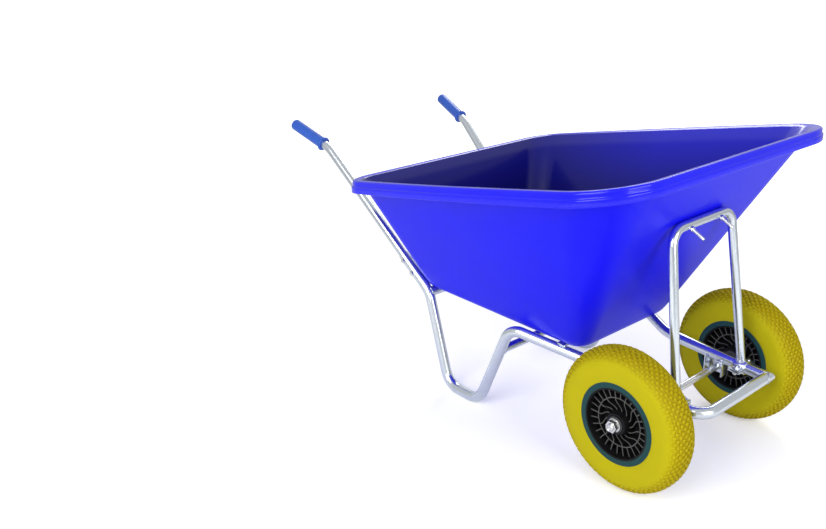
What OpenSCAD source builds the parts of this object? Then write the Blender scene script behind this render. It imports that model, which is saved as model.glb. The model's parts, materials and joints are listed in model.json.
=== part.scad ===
// Two wheel wheelbarrow: a deep moulded tray on a bent tube chassis.
// +X points to the wheels, +Y to the left hand of the person pushing, +Z up.
// The origin is on the ground, under the middle of the whole barrow.

/* [Wheels] */
// Outside diameter of the tyre
tyre_d = 400; // [380:1:420]
// Width of the tyre across its sidewalls
tyre_w = 92; // [88:1:100]
// Distance between the middle planes of the two tyres
track = 532; // [510:1:570]
// Diameter over the rim flanges
rim_d = 228; // [222:1:236]
// Width over the rim flanges
rim_w = 84; // [78:1:88]
// Depth of the bead seat below the flange edge
bead_h = 12; // [9:1:15]
// Thickness of a rim flange
flange_t = 6; // [4:0.5:8]
// Radial thickness of the rim barrel under the bead seat
barrel_t = 8; // [6:0.5:9]
// Thickness of the disc between hub and barrel
web_t = 10; // [8:1:14]
// Length of the hub, end to end
hub_len = 80; // [74:1:90]
// Diameter of the hub at its ends
hub_d = 58; // [52:1:64]
// Height of the ribs above the disc
rib_h = 22; // [16:1:26]
// Thickness of a rib
rib_t = 3; // [2:0.5:4]
// Number of curved ribs around the hub
rib_count = 14; // [10:1:16]
// Sideways sweep of a curved rib, in degrees
rib_sweep = 26; // [10:1:34]

/* [Axle] */
// Diameter of the axle rod
axle_d = 20; // [18:0.5:24]
// Outside diameter of a hub bush
bush_d = 30; // [28:0.5:34]
// Length of a hub bush inside the hub
bush_len = 34; // [25:1:40]
// Diameter of the flange on a hub bush
bush_flange_d = 44; // [38:1:48]
// Thickness of the flange on a hub bush
bush_flange_t = 3; // [2:0.5:4]
// Outside diameter of a spacer on the axle
spacer_d = 27; // [26:0.5:32]
// Diameter of the washer outside each wheel
axle_washer_d = 37; // [34:1:42]
// Thickness of that washer
axle_washer_t = 3; // [2:0.5:4]
// Width across the flats of the axle nut
axle_nut_af = 30; // [28:1:34]
// Height of the axle nut
axle_nut_h = 14; // [10:1:18]
// Length of axle that stands out past the nut
axle_tail = 4; // [2:0.5:10]
// Sideways play of a wheel at each end of its hub
wheel_play = 0.4; // [0.3:0.1:1]

/* [Chassis] */
// Outside diameter of the chassis tube
tube_d = 32; // [30:0.5:34]
// Wall thickness of the chassis tube
tube_t = 1.5; // [1.2:0.1:2]
// How far a rail lies inside the middle plane of its tyre
rail_inset = 111; // [106:1:116]
// How far the front crossbar lies ahead of the axle
corner_x = 155; // [130:1:180]
// Height of the front crossbar above the axle
corner_rise = 25; // [24:1:28]
// Bend radius of the chassis front corner
corner_bend = 52; // [44:1:60]
// How far behind the axle the rails start to splay
knee_back = 180; // [160:1:200]
// Height of that knee above the axle
knee_rise = 43; // [40:1:46]
// Bend radius at the knee
knee_bend = 150; // [100:5:200]
// Width of an axle bracket along the rail
bracket_w = 60; // [50:1:70]
// Depth of an axle bracket across the barrow
bracket_depth = 27; // [22:1:34]
// Sheet thickness of an axle bracket
bracket_t = 4; // [3:0.5:5]
// Height of an axle bracket below the middle of the axle
bracket_drop = 17; // [15:1:24]

/* [Legs] */
// How far behind the axle a leg leaves its rail
leg_top_back = 441; // [425:1:455]
// Half the distance between the tops of the legs
leg_top_y = 250; // [244:1:256]
// Height of the leg tops above the axle
leg_top_rise = 99; // [96:1:102]
// How far behind the axle the front of a foot lies
foot_front_back = 557; // [545:1:565]
// How far behind the axle the rear of a foot lies
foot_rear_back = 698; // [690:1:712]
// Half the distance between the feet
foot_y = 264; // [258:1:270]
// How far behind the axle the rear arm ends at the handle socket
arm_top_back = 795; // [785:1:805]
// Half the distance between the rear arm tops
arm_top_y = 255; // [250:1:260]
// Height of the rear arm tops above the axle
arm_top_rise = 102; // [98:1:106]
// Bend radius at a leg top
leg_top_bend = 46; // [42:1:50]
// Bend radius at a foot
leg_bend = 64; // [58:1:70]
// Bend radius where a rear arm turns into the handle socket
arm_bend = 100; // [80:5:120]
// Length of a handle socket from the arm's corner
socket_len = 150; // [140:5:190]
// Diameter of the brace between the legs
brace_d = 25; // [20:0.5:28]
// How far the brace lies below the leg tops
brace_drop = 83; // [75:1:110]

/* [Handles] */
// How far behind the axle a handle bends towards its grip
grip_bend_back = 1244; // [1220:1:1260]
// Half the distance between the handles at that bend
grip_bend_y = 300; // [294:1:306]
// Height of that bend above the axle
grip_bend_rise = 491; // [470:1:510]
// How far behind the axle the grips end
grip_end_back = 1404; // [1390:1:1430]
// Half the distance between the grip ends
grip_end_y = 325; // [318:1:332]
// Height of the grip ends above the axle
grip_end_rise = 548; // [530:1:566]
// Bend radius of a handle
handle_bend = 90; // [70:5:110]
// Outside diameter of a grip
grip_d = 35; // [34:0.5:38]
// Length of a grip
grip_len = 138; // [120:1:142]
// Diameter of the hand stop on a grip
grip_stop_d = 46; // [42:1:52]
// Thickness of the hand stop
grip_stop_t = 6; // [4:0.5:9]
// Thickness of the closed end of a grip
grip_cap_t = 6; // [4:0.5:8]
// Rounding of the closed end
grip_round = 8; // [5:0.5:10]

/* [Front hoop] */
// Outside diameter of the hoop tube
hoop_d = 25; // [24:0.5:27]
// Wall thickness of the hoop tube
hoop_t = 1.5; // [1.2:0.1:2]
// How far ahead of the axle the hoop stands on the rails
hoop_foot_x = 75; // [62:1:85]
// Half the width of the hoop at its top, between tube centres
hoop_top_y = 131; // [124:1:138]
// Height on the tray's front wall where the hoop rests, above the axle
hoop_rest_rise = 489; // [470:1:500]
// Bend radius of the hoop
hoop_bend = 44; // [38:1:48]
// Thickness of the clamp plates around a rail
clamp_t = 4; // [3:0.5:5]
// Width of a clamp along the rail
clamp_w = 36; // [30:1:42]
// Length of a clamp ear
clamp_ear = 22; // [20:1:26]
// Half the gap between the two clamp ears
clamp_gap = 1.5; // [1:0.5:2.5]

/* [Tray] */
// How far the rim reaches ahead of the axle
rim_front_x = 116; // [108:1:130]
// How far the rim reaches behind the axle
rim_rear_back = 984; // [970:1:998]
// Height of the rim above the axle at its front end
rim_front_rise = 680; // [665:1:700]
// Height of the rim above the axle at its rear end
rim_rear_rise = 462; // [450:1:475]
// Half the width of the rim near the front
rim_front_y = 498; // [484:1:510]
// Half the width of the rim at the rear
rim_rear_y = 452; // [440:1:465]
// Plan radius of the front corners at the rim
rim_front_corner = 180; // [150:1:195]
// Plan radius of the rear corners at the rim
rim_rear_corner = 106; // [95:1:125]
// Outward swell of the sides at the rim
rim_swell = 10; // [0:1:14]
// How far the floor ends behind the axle, at the front
floor_front_back = 220; // [214:1:232]
// How far the floor ends behind the axle, at the rear
floor_rear_back = 840; // [834:1:846]
// Half the width of the floor at the front
floor_front_y = 202; // [194:1:206]
// Half the width of the floor at the rear
floor_rear_y = 251; // [245:1:255]
// Plan radius of the floor's front corners
floor_front_corner = 48; // [42:1:60]
// Plan radius of the floor's rear corners
floor_rear_corner = 74; // [66:1:80]
// Rounding between floor and walls
floor_round = 28; // [24:1:34]
// Wall thickness of the tray
tray_t = 5; // [4:0.5:6]
// Outward reach of the rim lip
lip_w = 25; // [22:1:30]
// Height of the rim lip
lip_h = 38; // [34:1:44]
// Wall thickness of the lip
lip_t = 4.5; // [4:0.5:5.5]
// Depth of the step along the middle of the lip
lip_step = 4; // [2:0.5:5]
// How far behind the axle the flat support bar lies
bar_back = 288; // [276:1:300]
// Width of the flat support bar
bar_w = 25; // [20:1:30]
// Thickness of the flat support bar
bar_t = 5; // [4:0.5:6]

/* [Fasteners] */
// Diameter of the bolts
bolt_d = 8; // [7:0.5:9]
// Width across the flats of the nuts
nut_af = 13; // [12:0.5:15]
// Height of the nuts
nut_h = 6.5; // [5:0.5:8]
// Diameter of the domed bolt heads
head_d = 20; // [18:0.5:22]
// Height of the domed bolt heads
head_h = 4.5; // [3.5:0.5:6]
// Height of the hexagon bolt heads
hex_head_h = 5.5; // [4:0.5:7]
// Diameter of the washers
washer_d = 25; // [24:0.5:28]
// Thickness of the washers
washer_t = 1.5; // [1:0.5:2.5]
// Length of bolt that stands out past a nut
bolt_tail = 4; // [2:0.5:8]
// Length of hoop bolt that stands out ahead of its nut
hoop_bolt_tail = 38; // [20:1:48]

/* [Fits] */
// Radial running clearance of a wheel bush on the axle
run_fit = 0.05; // [0.02:0.01:0.09]
// Gap between pieces that seat on each other
seat_gap = 0.1; // [0.05:0.05:0.2]
// Radial gap around a bolt in its hole
hole_gap = 0.4; // [0.3:0.1:0.8]
// Radial gap of a handle in its socket
sleeve_gap = 0.3; // [0.2:0.05:0.4]

/* [Hidden] */
$fn = 48;
// How far a cutting shape runs past what it cuts
overrun = 2;
// Height of the fine mark where a bend meets a straight, and how far the straight runs into it
bend_mark = 0.15;
bend_lap = 0.8;
// Facets around a bolt's dome and a grip's rounded end
dome_steps = 6;

// Wheel sizes that follow from the driving dimensions
axle_z = tyre_d / 2;
rim_r = rim_d / 2;
seat_r = rim_r - bead_h;
barrel_r = seat_r - barrel_t;
hub_half = hub_len / 2;
wheel_half = hub_half + bush_flange_t;
wheel_y = track / 2;
rib_ring_share = 0.72;
rib_ring_r = barrel_r * rib_ring_share;
hub_flare_share = 0.1;
hub_flare = hub_flare_share * hub_d;
wide_share = 0.42;
rib_swing_share = 0.2;
rib_steps = 10;
crown_power = 0.88;
crown_steps = 20;
sidewall_steps = 5;

// Where the tube centre lines run, on the right-hand side
corner_z = axle_z + corner_rise;
rail_y = wheel_y - rail_inset;
tube_r = tube_d / 2;
tube_bore = tube_d - 2 * tube_t;
front_corner = [corner_x, -rail_y, corner_z];
knee = [-knee_back, -rail_y, axle_z + knee_rise];
leg_top = [-leg_top_back, -leg_top_y, axle_z + leg_top_rise];
foot_front = [-foot_front_back, -foot_y, tube_r];
foot_rear = [-foot_rear_back, -foot_y, tube_r];
arm_top = [-arm_top_back, -arm_top_y, axle_z + arm_top_rise];
grip_bend = [-grip_bend_back, -grip_bend_y, axle_z + grip_bend_rise];
grip_end = [-grip_end_back, -grip_end_y, axle_z + grip_end_rise];
handle_way = unit(grip_bend - arm_top);
grip_way = unit(grip_end - grip_bend);
rail_way = unit(knee - front_corner);
splay_way = unit(leg_top - knee);
arm_way = unit(foot_front - leg_top);
socket_end = arm_top + socket_len * handle_way;
left_corner = flip(front_corner);
left_rail_way = flip(rail_way);

// Handle and grip sizes that follow from the socket
handle_d = tube_bore - 2 * sleeve_gap;
socket_stop_share = 0.3;
handle_start = arm_top + socket_stop_share * socket_len * handle_way;
handle_bolt_shares = [0.53, 0.86];
grip_start = grip_end - grip_len * grip_way;

// Supports under the tray, and the floor plane that rests on them
bar_share = (bar_back - knee_back) / (leg_top_back - knee_back);
bar_rail = knee + bar_share * (leg_top - knee);
flat_share = sqrt(1 - splay_way[2] * splay_way[2]);
bar_top = bar_rail[2] + tube_r / flat_share + bar_t - seat_gap;
cross_top = arm_top[2] + tube_r + seat_gap;
floor_slope = (bar_top - cross_top) / (arm_top_back - bar_back);
floor_tilt = atan(-floor_slope);
bar_bolt_share = 0.7;
bar_bolt_y = bar_bolt_share * rail_y;
cross_bolt_y = rail_y;
bar_point = [-bar_back, 0, floor_z(-bar_back)];
cross_point = [-arm_top_back, 0, floor_z(-arm_top_back)];

// Rim plane of the tray
rim_slope = (rim_front_rise - rim_rear_rise) / (rim_front_x + rim_rear_back);

// Front wall of the tray, and the hoop that holds it
wall_foot = [-floor_front_back, 0, floor_z(-floor_front_back)];
wall_head = [rim_front_x - lip_w, 0, rim_z(rim_front_x - lip_w)];
wall_way = unit(wall_head - wall_foot);
wall_out = [wall_way[2], 0, -wall_way[0]];
hoop_share = (axle_z + hoop_rest_rise - wall_foot[2]) / (wall_head[2] - wall_foot[2]);
hoop_rest = wall_foot + hoop_share * (wall_head - wall_foot);
hoop_top = hoop_rest + (hoop_d / 2 + seat_gap) * wall_out;
hoop_bolt_y = hoop_top_y / 2;
clamp_r = tube_r + seat_gap;
clamp_point = [hoop_foot_x, -rail_y, rail_z(hoop_foot_x)];
clamp_bolt_y = clamp_r + clamp_t + clamp_ear / 2;

// Where the barrow ends, to put the origin under its middle
grip_tilt_share = sqrt(1 - grip_way[0] * grip_way[0]);
grip_reach = grip_end_back + grip_round * (1 + grip_way[0]) + (grip_d / 2 - grip_round) * grip_tilt_share;
front_reach = max(rim_front_x, tyre_d / 2);
middle_x = (front_reach - grip_reach) / 2;

// Plain vector helpers
upright_share = 0.9;
function unit(v) = v / norm(v);
function flip(v) = [v[0], -v[1], v[2]];
function across(d) = unit(cross(d, abs(d[2]) < upright_share ? [0, 0, 1] : [1, 0, 0]));
function axes(x, y, z, p) = [
    [x[0], y[0], z[0], p[0]],
    [x[1], y[1], z[1], p[1]],
    [x[2], y[2], z[2], p[2]],
    [0, 0, 0, 1]
];
function along(p, d) = axes(across(d), cross(d, across(d)), d, p);

// Heights of the rails, the tray floor and the rim plane at a place along the barrow
function rail_z(x) = corner_z + (knee[2] - corner_z) * (corner_x - x) / (corner_x + knee_back);
function floor_z(x) = bar_top + floor_slope * (x + bar_back);
function rim_z(x) = axle_z + rim_front_rise + rim_slope * (x - rim_front_x);

// Length that a bend takes from the straight on either side of a path's point
function bend_angle(path, i) = acos(unit(path[i] - path[i - 1]) * unit(path[i + 1] - path[i]));
function bend_take(path, bends, i) =
    (i == 0 || i == len(path) - 1) ? 0 : bends[i - 1] * tan(bend_angle(path, i) / 2);

// Straight round bar or tube from a to b
module straight(a, b, d, bore = 0) {
    length = norm(b - a);
    multmatrix(along(a, unit(b - a)))
        difference() {
            cylinder(h = length, d = d);
            if (bore > 0)
                translate([0, 0, -overrun])
                    cylinder(h = length + 2 * overrun, d = bore);
        }
}

// Bent round bar: straights and arcs along a path, one bend radius for each inner point
module bent_bar(path, bends, d, longer = 0) {
    last = len(path) - 1;
    for (i = [0 : last - 1]) {
        way = unit(path[i + 1] - path[i]);
        a = path[i] + (i > 0 ? bend_take(path, bends, i) - bend_lap : -longer) * way;
        b = path[i + 1] - (i < last - 1 ? bend_take(path, bends, i + 1) - bend_lap : -longer) * way;
        straight(a, b, d);
    }
    for (i = [1 : last - 1]) {
        way_in = unit(path[i] - path[i - 1]);
        way_out = unit(path[i + 1] - path[i]);
        inside = unit(way_out - (way_out * way_in) * way_in);
        start = path[i] - bend_take(path, bends, i) * way_in;
        centre = start + bends[i - 1] * inside;
        multmatrix(axes(-inside, way_in, cross(-inside, way_in), centre))
            rotate_extrude(angle = bend_angle(path, i))
                translate([bends[i - 1], 0])
                    circle(d = d + 2 * bend_mark);
    }
}

// The same bar with a bore, open at both ends
module bent_tube(path, bends, d, bore) {
    difference() {
        bent_bar(path, bends, d);
        bent_bar(path, bends, bore, overrun);
    }
}

// Everything on the ahead side of a plane through p, to cut a tube end off
module beyond(p, d, size) {
    multmatrix(along(p, d))
        translate([-size / 2, -size / 2, 0])
            cube(size);
}

// Puts a piece made about the axle into the barrow's own frame
module placed() {
    translate([-middle_x, 0, 0])
        children();
}

// The same piece on both sides, or on the left only
module left() {
    mirror([0, 1, 0])
        children();
}

module both() {
    children();
    left()
        children();
}

// Fasteners, made with their seat at z = 0 and their shank pointing down
module dome_bolt(grip) {
    length = grip + nut_h + bolt_tail;
    rotate_extrude()
        polygon(concat(
            [[0, -length], [bolt_d / 2, -length], [bolt_d / 2, 0]],
            [for (i = [0 : dome_steps]) let(a = 90 * i / dome_steps)
                [head_d / 2 * cos(a), head_h * sin(a)]]
        ));
}

module hex_bolt(grip) {
    cylinder(h = hex_head_h, d = nut_af / cos(30), $fn = 6);
    translate([0, 0, -grip - nut_h - bolt_tail])
        cylinder(h = grip + nut_h + bolt_tail, d = bolt_d);
}

module ring(inner, outer, h) {
    difference() {
        cylinder(h = h, d = outer);
        translate([0, 0, -overrun])
            cylinder(h = h + 2 * overrun, d = inner);
    }
}

module hex_nut(af, inner, h) {
    difference() {
        cylinder(h = h, d = af / cos(30), $fn = 6);
        translate([0, 0, -overrun])
            cylinder(h = h + 2 * overrun, d = inner);
    }
}

bolt_hole = bolt_d + 2 * hole_gap;
nut_bore = bolt_d + 2 * seat_gap;

// Tyre section: a foam filled balloon that sits between the rim flanges
function tyre_side(s) = let(
        bead_y = rim_w / 2,
        foot_r = rim_r + seat_gap,
        wide_r = foot_r + (axle_z - foot_r) * wide_share
    ) [
        for (i = [0 : sidewall_steps - 1]) let(a = 90 * i / sidewall_steps)
            [wide_r - (wide_r - foot_r) * cos(a), s * (bead_y + (tyre_w / 2 - bead_y) * sin(a))]
    ];
function tyre_crown() = let(
        foot_r = rim_r + seat_gap,
        wide_r = foot_r + (axle_z - foot_r) * wide_share
    ) [
        for (i = [0 : crown_steps]) let(a = 180 * i / crown_steps)
            [wide_r + (axle_z - wide_r) * pow(sin(a), crown_power),
             tyre_w / 2 * sign(cos(a)) * pow(abs(cos(a)), crown_power)]
    ];
function reversed(list) = [for (i = [len(list) - 1 : -1 : 0]) list[i]];

module tyre() {
    bead_y = rim_w / 2 - flange_t - seat_gap;
    color("gold")
        rotate([90, 0, 0])
            rotate_extrude($fn = 96)
                polygon(concat(
                    [[seat_r + seat_gap, bead_y], [rim_r + seat_gap, bead_y]],
                    tyre_side(1),
                    tyre_crown(),
                    reversed(tyre_side(-1)),
                    [[rim_r + seat_gap, -bead_y], [seat_r + seat_gap, -bead_y]]
                ));
}

// Curved rib: its middle line swings one way and back between hub and ring
function rib_angle(t) = rib_sweep * (t - rib_swing_share * sin(360 * t));
function rib_edge(side) = let(r_in = hub_d / 2 - rib_t, r_out = rib_ring_r) [
    for (i = [0 : rib_steps]) let(
            t = i / rib_steps,
            r = r_in + (r_out - r_in) * t,
            a = rib_angle(t) + side * asin(rib_t / 2 / r)
        ) [r * cos(a), r * sin(a)]
];

module rib_pattern() {
    for (k = [0 : rib_count - 1])
        rotate(360 / rib_count * k)
            polygon(concat(rib_edge(-1), reversed(rib_edge(1))));
    for (k = [0 : 2 * rib_count - 1])
        rotate(180 / rib_count * k)
            translate([rib_ring_r, -rib_t / 2])
                square([barrel_r - rib_ring_r + rib_t, rib_t]);
    difference() {
        circle(r = rib_ring_r + rib_t / 2);
        circle(r = rib_ring_r - rib_t / 2);
    }
}

module rim() {
    edge = rim_w / 2;
    bead = edge - flange_t;
    web = web_t / 2;
    bore = bush_d / 2 + seat_gap;
    color("darkslategray")
        rotate([90, 0, 0]) {
            rotate_extrude($fn = 96)
                polygon([
                    [bore, -hub_half], [bore, hub_half],
                    [hub_d / 2, hub_half], [hub_d / 2 + hub_flare, web],
                    [barrel_r, web], [barrel_r, edge],
                    [rim_r, edge], [rim_r, bead], [seat_r, bead],
                    [seat_r, -bead], [rim_r, -bead], [rim_r, -edge],
                    [barrel_r, -edge], [barrel_r, -web],
                    [hub_d / 2 + hub_flare, -web], [hub_d / 2, -hub_half]
                ]);
            for (face = [0, 1])
                mirror([0, 0, face])
                    translate([0, 0, web - rib_t / 2])
                        linear_extrude(rib_h + rib_t / 2)
                            rib_pattern();
        }
}

// Two flanged bushes, pushed into the hub from its two ends
module hub_bushes() {
    inner = axle_d / 2 + run_fit;
    color("dimgray")
        for (end = [0, 1])
            mirror([0, end, 0])
                translate([0, hub_half, 0])
                    rotate([90, 0, 0])
                        rotate_extrude()
                            polygon([
                                [inner, -bush_flange_t], [bush_flange_d / 2, -bush_flange_t],
                                [bush_flange_d / 2, -seat_gap], [bush_d / 2, -seat_gap],
                                [bush_d / 2, bush_len], [inner, bush_len]
                            ]);
}

module at_right_wheel() {
    translate([0, -wheel_y, axle_z])
        children();
}

module tyre_right() placed() at_right_wheel() tyre();
module tyre_left() placed() left() at_right_wheel() tyre();
module rim_right() placed() at_right_wheel() rim();
module rim_left() placed() left() at_right_wheel() rim();
module hub_bushes_right() placed() at_right_wheel() hub_bushes();
module hub_bushes_left() placed() left() at_right_wheel() hub_bushes();

// Axle and what keeps the wheels on it, from the bracket outwards
spacer_end = wheel_y - wheel_half - wheel_play;
washer_start = wheel_y + wheel_half + wheel_play;
nut_start = washer_start + axle_washer_t + seat_gap;
axle_half = nut_start + axle_nut_h + axle_tail;
axle_hole = axle_d + 2 * seat_gap;

module on_axle(y) {
    translate([0, -y, axle_z])
        rotate([90, 0, 0])
            children();
}

module axle() {
    color("silver")
        placed()
            on_axle(-axle_half)
                cylinder(h = 2 * axle_half, d = axle_d);
}

module axle_spacer() {
    start = rail_y + bracket_t / 2 + seat_gap;
    color("silver")
        on_axle(start)
            ring(axle_hole, spacer_d, spacer_end - start);
}

module axle_spacer_right() placed() axle_spacer();
module axle_spacer_left() placed() left() axle_spacer();

module axle_washers() {
    color("silver")
        placed()
            both()
                on_axle(washer_start)
                    ring(axle_hole, axle_washer_d, axle_washer_t);
}

module axle_nuts() {
    color("silver")
        placed()
            both()
                on_axle(nut_start)
                    hex_nut(axle_nut_af, axle_hole, axle_nut_h);
}

// Folded sheet bracket under a rail, open towards the middle of the barrow
module axle_bracket() {
    outer_y = -rail_y - bracket_t / 2;
    top = rail_z(0);
    bottom = axle_z - bracket_drop;
    color("lightsteelblue")
        difference() {
            translate([-bracket_w / 2, outer_y, bottom])
                cube([bracket_w, bracket_depth, top - bottom]);
            translate([-bracket_w / 2 + bracket_t, outer_y + bracket_t, bottom - overrun])
                cube([bracket_w - 2 * bracket_t, bracket_depth, top - bottom + 2 * overrun]);
            straight(front_corner, knee, tube_d + 2 * seat_gap);
            on_axle(rail_y - bracket_depth)
                cylinder(h = 2 * bracket_depth, d = axle_hole);
        }
}

module axle_bracket_right() placed() axle_bracket();
module axle_bracket_left() placed() left() axle_bracket();

// Chassis tubes: rail, leg and handle socket in one bend run.
// The right one carries the front crossbar as well, mitred to the left rail.
leg_path = [knee, leg_top, foot_front, foot_rear, arm_top, socket_end];
leg_bends = [knee_bend, leg_top_bend, leg_bend, leg_bend, arm_bend];
crossbar_way = [0, -1, 0];
mitre_way = unit(crossbar_way - left_rail_way);

module handle_bolt_holes() {
    for (s = handle_bolt_shares)
        multmatrix(along(arm_top + s * socket_len * handle_way, across(handle_way)))
            translate([0, 0, -tube_d])
                cylinder(h = 2 * tube_d, d = bolt_hole);
}

module chassis_tube_right() {
    path = concat([left_corner - tube_d * crossbar_way, front_corner], leg_path);
    color("lightsteelblue")
        placed()
            difference() {
                bent_tube(path, concat([corner_bend], leg_bends), tube_d, tube_bore);
                beyond(left_corner + seat_gap / 2 * mitre_way, -mitre_way, 4 * tube_d);
                handle_bolt_holes();
            }
}

module chassis_tube_left() {
    path = concat([front_corner - tube_d * rail_way], leg_path);
    color("lightsteelblue")
        placed()
            left()
                difference() {
                    bent_tube(path, leg_bends, tube_d, tube_bore);
                    beyond(front_corner - seat_gap / 2 * flip(mitre_way), flip(mitre_way), 4 * tube_d);
                    handle_bolt_holes();
                }
}

// Cross tubes and the flat bar, notched to the tubes that they are welded to
module leg_brace() {
    s = brace_drop / (leg_top[2] - foot_front[2]);
    p = leg_top + s * (foot_front - leg_top);
    color("lightsteelblue")
        placed()
            difference() {
                straight(p, flip(p), brace_d, brace_d - 2 * tube_t);
                both()
                    straight(leg_top, foot_front, tube_d + 2 * seat_gap);
            }
}

module on_floor(point, y) {
    translate([point[0], y, point[2]])
        rotate([0, floor_tilt, 0])
            children();
}

module rear_crossbar() {
    color("lightsteelblue")
        placed()
            difference() {
                straight(arm_top, flip(arm_top), tube_d, tube_bore);
                both()
                    bent_bar([foot_rear, arm_top, socket_end], [arm_bend], tube_d + 2 * seat_gap);
                for (y = [-cross_bolt_y, cross_bolt_y])
                    on_floor(cross_point, y)
                        translate([0, 0, -2 * tube_d])
                            cylinder(h = 2 * tube_d, d = bolt_hole);
            }
}

module tray_support_bar() {
    half = -bar_rail[1] + tube_r / 2;
    color("lightsteelblue")
        placed()
            difference() {
                on_floor(bar_point, 0)
                    translate([-bar_w / 2, -half, -bar_t - seat_gap])
                        cube([bar_w, 2 * half, bar_t]);
                both()
                    straight(knee, leg_top, tube_d + 2 * seat_gap);
                for (y = [-bar_bolt_y, bar_bolt_y])
                    on_floor(bar_point, y)
                        translate([0, 0, -2 * bar_t])
                            cylinder(h = 2 * bar_t, d = bolt_hole);
            }
}

// Handles in their sockets, with closed grips over the bent ends
module handle() {
    color("silver")
        difference() {
            bent_tube(
                [handle_start, grip_bend, grip_end - (grip_cap_t + seat_gap) * grip_way],
                [handle_bend], handle_d, handle_d - 2 * tube_t
            );
            handle_bolt_holes();
        }
}

module handle_right() placed() handle();
module handle_left() placed() left() handle();

module grip() {
    bore = handle_d / 2 + seat_gap;
    round_z = grip_len - grip_round;
    round_r = grip_d / 2 - grip_round;
    color("royalblue")
        multmatrix(along(grip_start, grip_way))
            rotate_extrude()
                polygon(concat(
                    [
                        [0, grip_len - grip_cap_t], [bore, grip_len - grip_cap_t], [bore, 0],
                        [grip_stop_d / 2, 0], [grip_stop_d / 2, grip_stop_t],
                        [grip_d / 2, grip_stop_t]
                    ],
                    [for (i = [0 : dome_steps]) let(a = 90 * i / dome_steps)
                        [round_r + grip_round * cos(a), round_z + grip_round * sin(a)]],
                    [[0, grip_len]]
                ));
}

module grip_right() placed() grip();
module grip_left() placed() left() grip();

// Bolts across a socket: head on the outer side, nut towards the middle
module at_handle_bolts() {
    for (s = handle_bolt_shares)
        multmatrix(along(arm_top + s * socket_len * handle_way, across(handle_way)))
            children();
}

socket_side = tube_r + seat_gap;

module handle_bolts() {
    color("silver")
        placed()
            both()
                at_handle_bolts()
                    mirror([0, 0, 1])
                        translate([0, 0, socket_side])
                            hex_bolt(2 * socket_side);
}

module handle_nuts() {
    color("silver")
        placed()
            both()
                at_handle_bolts()
                    translate([0, 0, socket_side])
                        hex_nut(nut_af, nut_bore, nut_h);
}

// Front hoop, notched to the saddles that it is welded to
hoop_corner = [hoop_top[0], -hoop_top_y, hoop_top[2]];

module hoop_bolt_holes(d) {
    for (y = [-hoop_bolt_y, hoop_bolt_y])
        multmatrix(along([hoop_rest[0], y, hoop_rest[2]], wall_out))
            translate([0, 0, -hoop_d])
                cylinder(h = 3 * hoop_d, d = d);
}

module front_hoop() {
    color("lightsteelblue")
        placed()
            difference() {
                bent_tube(
                    [clamp_point, hoop_corner, flip(hoop_corner), flip(clamp_point)],
                    [hoop_bend, hoop_bend], hoop_d, hoop_d - 2 * hoop_t
                );
                both()
                    straight(front_corner, knee, 2 * (clamp_r + clamp_t + seat_gap));
                hoop_bolt_holes(bolt_hole);
            }
}

// Clamp halves around a rail, in a frame with x up and z along the rail
module on_clamp() {
    up = unit([0, 0, 1] - rail_way[2] * rail_way);
    multmatrix(axes(up, cross(rail_way, up), rail_way, clamp_point))
        children();
}

module clamp_half() {
    span = clamp_r + clamp_t + clamp_ear;
    color("lightsteelblue")
        on_clamp()
            difference() {
                translate([0, 0, -clamp_w / 2])
                    linear_extrude(clamp_w)
                        difference() {
                            union() {
                                circle(r = clamp_r + clamp_t);
                                translate([0, -span])
                                    square([clamp_gap + clamp_t, 2 * span]);
                            }
                            circle(r = clamp_r);
                            translate([-2 * span + clamp_gap, -2 * span])
                                square([2 * span, 4 * span]);
                        }
                for (y = [-clamp_bolt_y, clamp_bolt_y])
                    translate([0, y, 0])
                        rotate([0, 90, 0])
                            cylinder(h = 4 * clamp_t, d = bolt_hole);
            }
}

module hoop_saddle() clamp_half();

module hoop_strap() {
    translate(clamp_point)
        multmatrix(along([0, 0, 0], rail_way))
            rotate(180)
                multmatrix(turned_back())
                    translate(-clamp_point)
                        clamp_half();
}

// Turns a piece from the rail's own axes back to the barrow's
function turned_back() = let(m = along([0, 0, 0], rail_way)) [
    [m[0][0], m[1][0], m[2][0], 0],
    [m[0][1], m[1][1], m[2][1], 0],
    [m[0][2], m[1][2], m[2][2], 0],
    [0, 0, 0, 1]
];

module hoop_saddle_right() placed() hoop_saddle();
module hoop_saddle_left() placed() left() hoop_saddle();
module hoop_strap_right() placed() hoop_strap();
module hoop_strap_left() placed() left() hoop_strap();

ear_side = clamp_gap + clamp_t + seat_gap;

module at_clamp_bolts() {
    on_clamp()
        for (y = [-clamp_bolt_y, clamp_bolt_y])
            translate([0, y, 0])
                rotate([0, 90, 0])
                    children();
}

module hoop_clamp_bolts() {
    color("silver")
        placed()
            both()
                at_clamp_bolts()
                    translate([0, 0, ear_side])
                        hex_bolt(2 * ear_side);
}

module hoop_clamp_nuts() {
    color("silver")
        placed()
            both()
                at_clamp_bolts()
                    translate([0, 0, -ear_side - nut_h])
                        hex_nut(nut_af, nut_bore, nut_h);
}

// Bolts through the tray's front wall and the hoop, tails to the front
wall_inside = tray_t + washer_t + 2 * seat_gap;
hoop_front = hoop_d + 2 * seat_gap;

module at_hoop_bolts() {
    for (y = [-hoop_bolt_y, hoop_bolt_y])
        multmatrix(along([hoop_rest[0], y, hoop_rest[2]], -wall_out))
            children();
}

module hoop_tray_bolts() {
    color("silver")
        placed()
            at_hoop_bolts()
                translate([0, 0, wall_inside])
                    dome_bolt(wall_inside + hoop_front + hoop_bolt_tail - bolt_tail);
}

module hoop_tray_washers() {
    color("silver")
        placed()
            at_hoop_bolts()
                translate([0, 0, tray_t + seat_gap])
                    ring(nut_bore, washer_d, washer_t);
}

module hoop_tray_nuts() {
    color("silver")
        placed()
            at_hoop_bolts()
                translate([0, 0, -hoop_front - nut_h])
                    hex_nut(nut_af, nut_bore, nut_h);
}

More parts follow.
